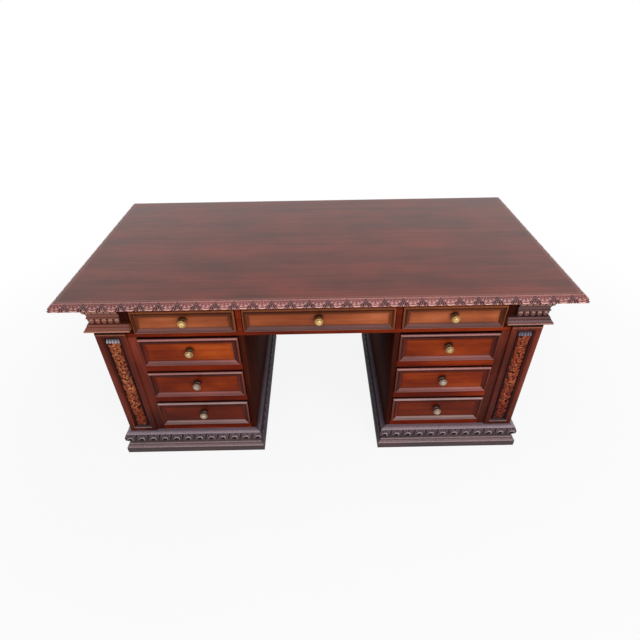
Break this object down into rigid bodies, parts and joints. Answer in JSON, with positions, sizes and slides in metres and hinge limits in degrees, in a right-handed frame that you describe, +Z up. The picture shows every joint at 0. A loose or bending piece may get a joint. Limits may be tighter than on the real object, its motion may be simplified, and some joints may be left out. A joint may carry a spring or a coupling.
{
  "type": "kneehole pedestal desk",
  "caption": "Carved kneehole pedestal desk: moulded overhanging top, panelled drawers with turned brass knobs that slide out, carved pilasters, moulded plinths.",
  "frame": {"origin": "on the floor, under the middle of the desk", "axes": "+X to the right as seen from the drawer fronts, -Y out of the drawer fronts, +Z up"},
  "size_m": [1.728, 0.872, 0.78],
  "materials": {
    "mahogany": "french-polished mahogany, satin",
    "dark_mahogany": "dark stained and polished mahogany, satin",
    "top_mahogany": "polished mahogany, semi-gloss",
    "carved_mahogany": "carved mahogany, worn and waxed",
    "drawer_mahogany": "polished mahogany, satin",
    "drawer_lining": "plain planed hardwood",
    "aged_brass": "turned and aged, satin"
  },
  "bodies": {
    "carcass": {"top_board": "top_mahogany", "top_moulding_front": "top_mahogany", "top_moulding_right": "top_mahogany", "top_moulding_back": "top_mahogany", "top_moulding_left": "top_mahogany", "frieze_bottom_board": "mahogany", "frieze_partition_frame": "mahogany", "frieze_end_left": "mahogany", "frieze_end_right": "mahogany", "frieze_back": "mahogany", "capital_left": "mahogany", "capital_right": "mahogany", "base_moulding_left": "dark_mahogany", "plinth_left": "dark_mahogany", "front_post_left": "mahogany", "pilaster_carving_left": "carved_mahogany", "outer_side_left": "mahogany", "inner_side_left": "dark_mahogany", "back_panel_left": "mahogany", "upper_drawer_rail_left": "mahogany", "centre_drawer_rail_left": "mahogany", "lower_drawer_rail_left": "mahogany", "base_moulding_right": "dark_mahogany", "plinth_right": "dark_mahogany", "front_post_right": "mahogany", "pilaster_carving_right": "carved_mahogany", "outer_side_right": "mahogany", "inner_side_right": "dark_mahogany", "back_panel_right": "mahogany", "upper_drawer_rail_right": "mahogany", "centre_drawer_rail_right": "mahogany", "lower_drawer_rail_right": "mahogany"},
    "frieze_drawer_left": {"frieze_drawer_left_front": "drawer_mahogany", "frieze_drawer_left_box": "drawer_lining", "frieze_drawer_left_knob": "aged_brass"},
    "frieze_drawer_middle": {"frieze_drawer_middle_front": "drawer_mahogany", "frieze_drawer_middle_box": "drawer_lining", "frieze_drawer_middle_knob": "aged_brass"},
    "frieze_drawer_right": {"frieze_drawer_right_front": "drawer_mahogany", "frieze_drawer_right_box": "drawer_lining", "frieze_drawer_right_knob": "aged_brass"},
    "upper_drawer_left": {"upper_drawer_left_front": "drawer_mahogany", "upper_drawer_left_box": "drawer_lining", "upper_drawer_left_knob": "aged_brass"},
    "centre_drawer_left": {"centre_drawer_left_front": "drawer_mahogany", "centre_drawer_left_box": "drawer_lining", "centre_drawer_left_knob": "aged_brass"},
    "lower_drawer_left": {"lower_drawer_left_front": "drawer_mahogany", "lower_drawer_left_box": "drawer_lining", "lower_drawer_left_knob": "aged_brass"},
    "upper_drawer_right": {"upper_drawer_right_front": "drawer_mahogany", "upper_drawer_right_box": "drawer_lining", "upper_drawer_right_knob": "aged_brass"},
    "centre_drawer_right": {"centre_drawer_right_front": "drawer_mahogany", "centre_drawer_right_box": "drawer_lining", "centre_drawer_right_knob": "aged_brass"},
    "lower_drawer_right": {"lower_drawer_right_front": "drawer_mahogany", "lower_drawer_right_box": "drawer_lining", "lower_drawer_right_knob": "aged_brass"}
  },
  "joints": [
    {"name": "frieze_drawer_left_slide", "type": "slide", "parent": "carcass", "child": "frieze_drawer_left", "axis": [0, -1, 0], "range_m": [0, 0.42]},
    {"name": "frieze_drawer_middle_slide", "type": "slide", "parent": "carcass", "child": "frieze_drawer_middle", "axis": [0, -1, 0], "range_m": [0, 0.42]},
    {"name": "frieze_drawer_right_slide", "type": "slide", "parent": "carcass", "child": "frieze_drawer_right", "axis": [0, -1, 0], "range_m": [0, 0.42]},
    {"name": "upper_drawer_left_slide", "type": "slide", "parent": "carcass", "child": "upper_drawer_left", "axis": [0, -1, 0], "range_m": [0, 0.42]},
    {"name": "centre_drawer_left_slide", "type": "slide", "parent": "carcass", "child": "centre_drawer_left", "axis": [0, -1, 0], "range_m": [0, 0.42]},
    {"name": "lower_drawer_left_slide", "type": "slide", "parent": "carcass", "child": "lower_drawer_left", "axis": [0, -1, 0], "range_m": [0, 0.42]},
    {"name": "upper_drawer_right_slide", "type": "slide", "parent": "carcass", "child": "upper_drawer_right", "axis": [0, -1, 0], "range_m": [0, 0.42]},
    {"name": "centre_drawer_right_slide", "type": "slide", "parent": "carcass", "child": "centre_drawer_right", "axis": [0, -1, 0], "range_m": [0, 0.42]},
    {"name": "lower_drawer_right_slide", "type": "slide", "parent": "carcass", "child": "lower_drawer_right", "axis": [0, -1, 0], "range_m": [0, 0.42]}
  ]
}
